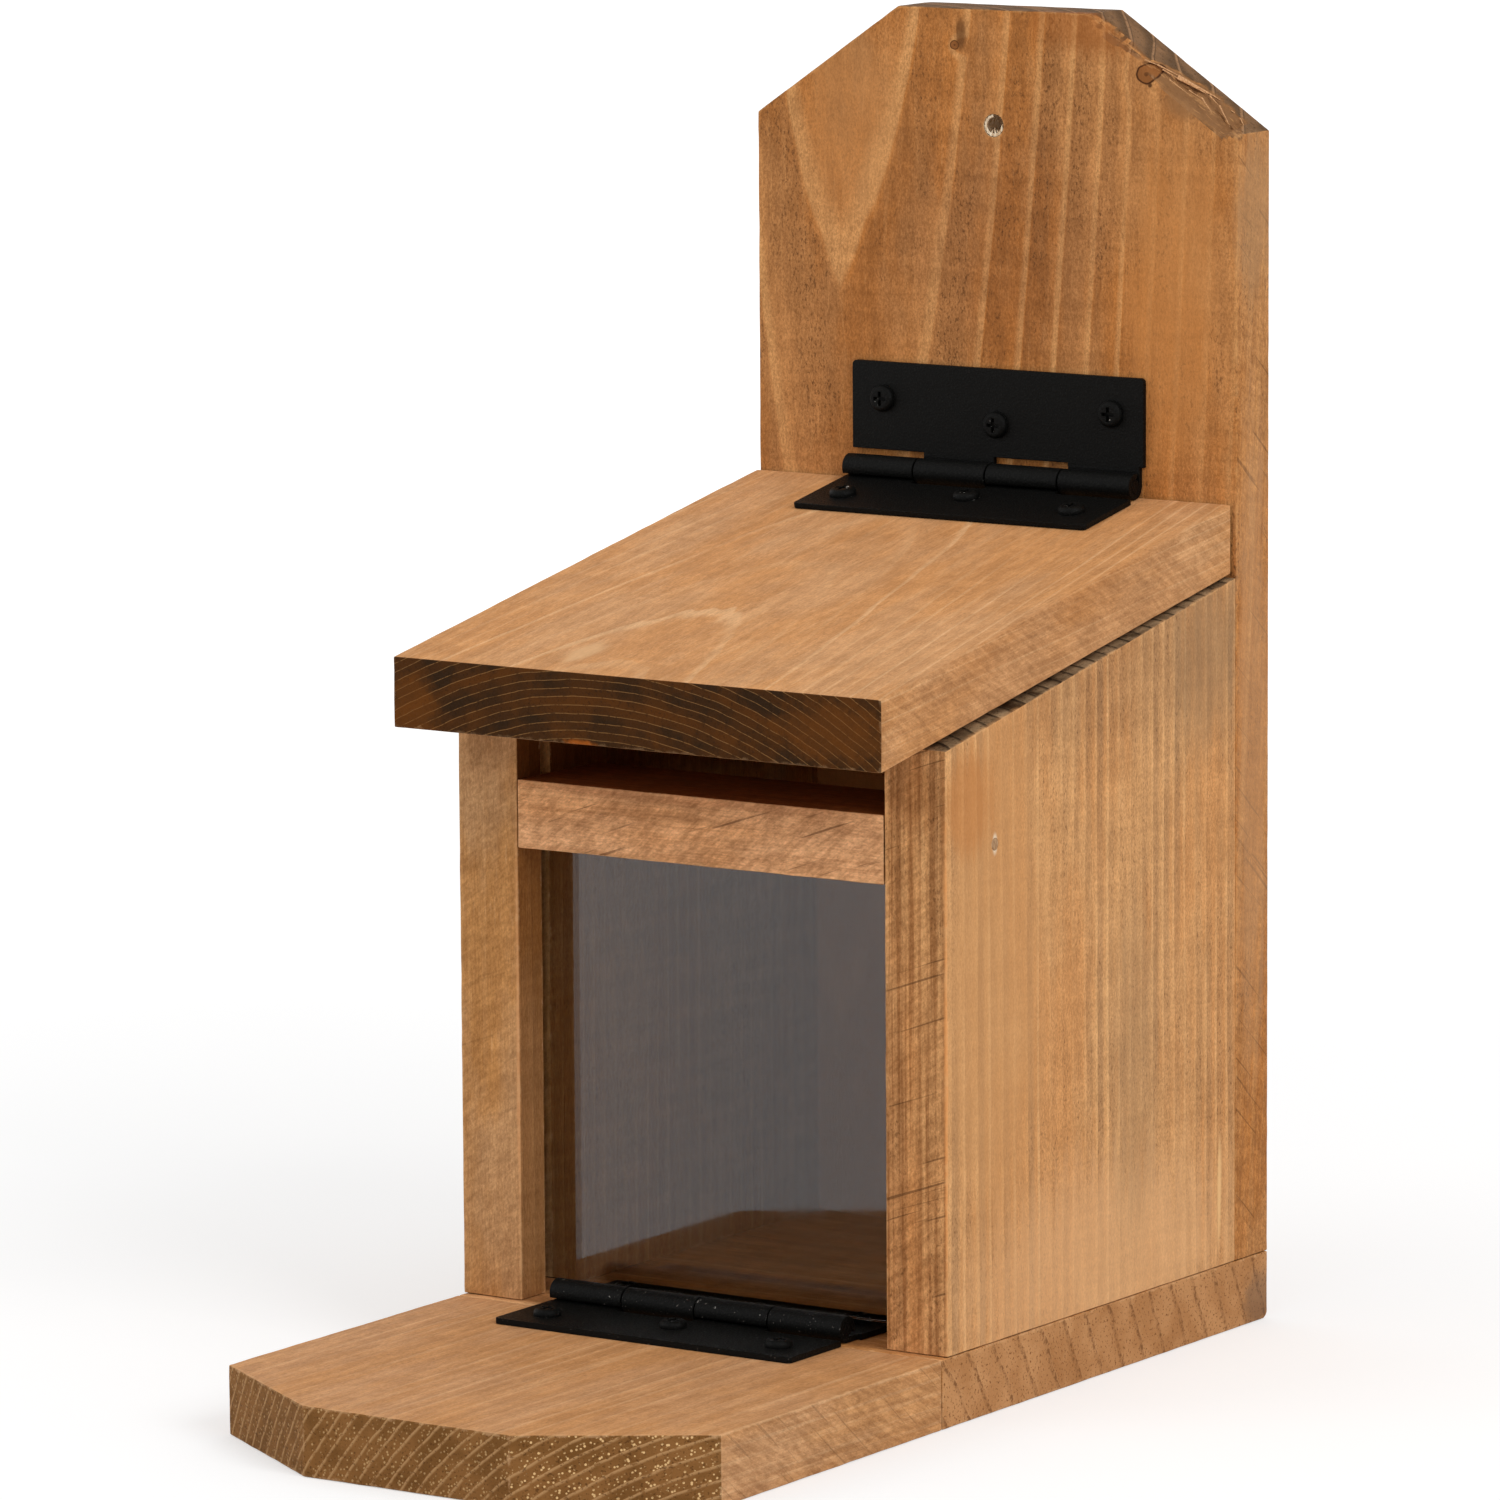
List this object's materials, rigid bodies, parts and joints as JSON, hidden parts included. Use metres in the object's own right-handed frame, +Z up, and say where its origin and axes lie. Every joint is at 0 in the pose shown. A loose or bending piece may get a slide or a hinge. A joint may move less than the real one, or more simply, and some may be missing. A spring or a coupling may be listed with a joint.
{
  "type": "squirrel feeder box",
  "caption": "Wooden feeder box for squirrels with a tall back board, a hinged sloping roof, a clear front pane and a hinged landing board.",
  "frame": {"origin": "centre of the floor board's underside", "axes": "+X to the right of someone facing the feeder, +Y back towards the wall, +Z up"},
  "size_m": [0.1254, 0.2408, 0.2892],
  "materials": {
    "stained_softwood": "warm brown stain, dry and slightly worn",
    "clear_plastic": "clear polished sheet",
    "black_coated_steel": "satin black powder coat",
    "nail_steel": "dull bright steel"
  },
  "bodies": {
    "box": {"floor_board": "stained_softwood", "back_board": "stained_softwood", "left_side_panel": "stained_softwood", "right_side_panel": "stained_softwood", "front_rail": "stained_softwood", "clear_pane": "clear_plastic", "roof_hinge_pin": "black_coated_steel", "roof_hinge_wall_leaf": "black_coated_steel", "roof_hinge_wall_screws": "black_coated_steel", "landing_hinge_pin": "black_coated_steel", "landing_hinge_floor_leaf": "black_coated_steel", "landing_hinge_floor_screws": "black_coated_steel", "rail_nails": "nail_steel", "back_nails": "nail_steel", "floor_nails": "nail_steel"},
    "roof": {"roof_board": "stained_softwood", "roof_hinge_roof_leaf": "black_coated_steel", "roof_hinge_roof_screws": "black_coated_steel"},
    "landing": {"landing_board": "stained_softwood", "landing_hinge_board_leaf": "black_coated_steel", "landing_hinge_board_screws": "black_coated_steel"}
  },
  "joints": [
    {"name": "roof_lift", "type": "hinge", "parent": "box", "child": "roof", "pos_m": [0.0015, 0.05, 0.18615], "axis": [-1, 0, 0], "range_deg": [0, 97]},
    {"name": "landing_fold", "type": "hinge", "parent": "box", "child": "landing", "pos_m": [-0.0004, -0.064, 0.0182], "axis": [-1, 0, 0], "range_deg": [0, 90]}
  ]
}
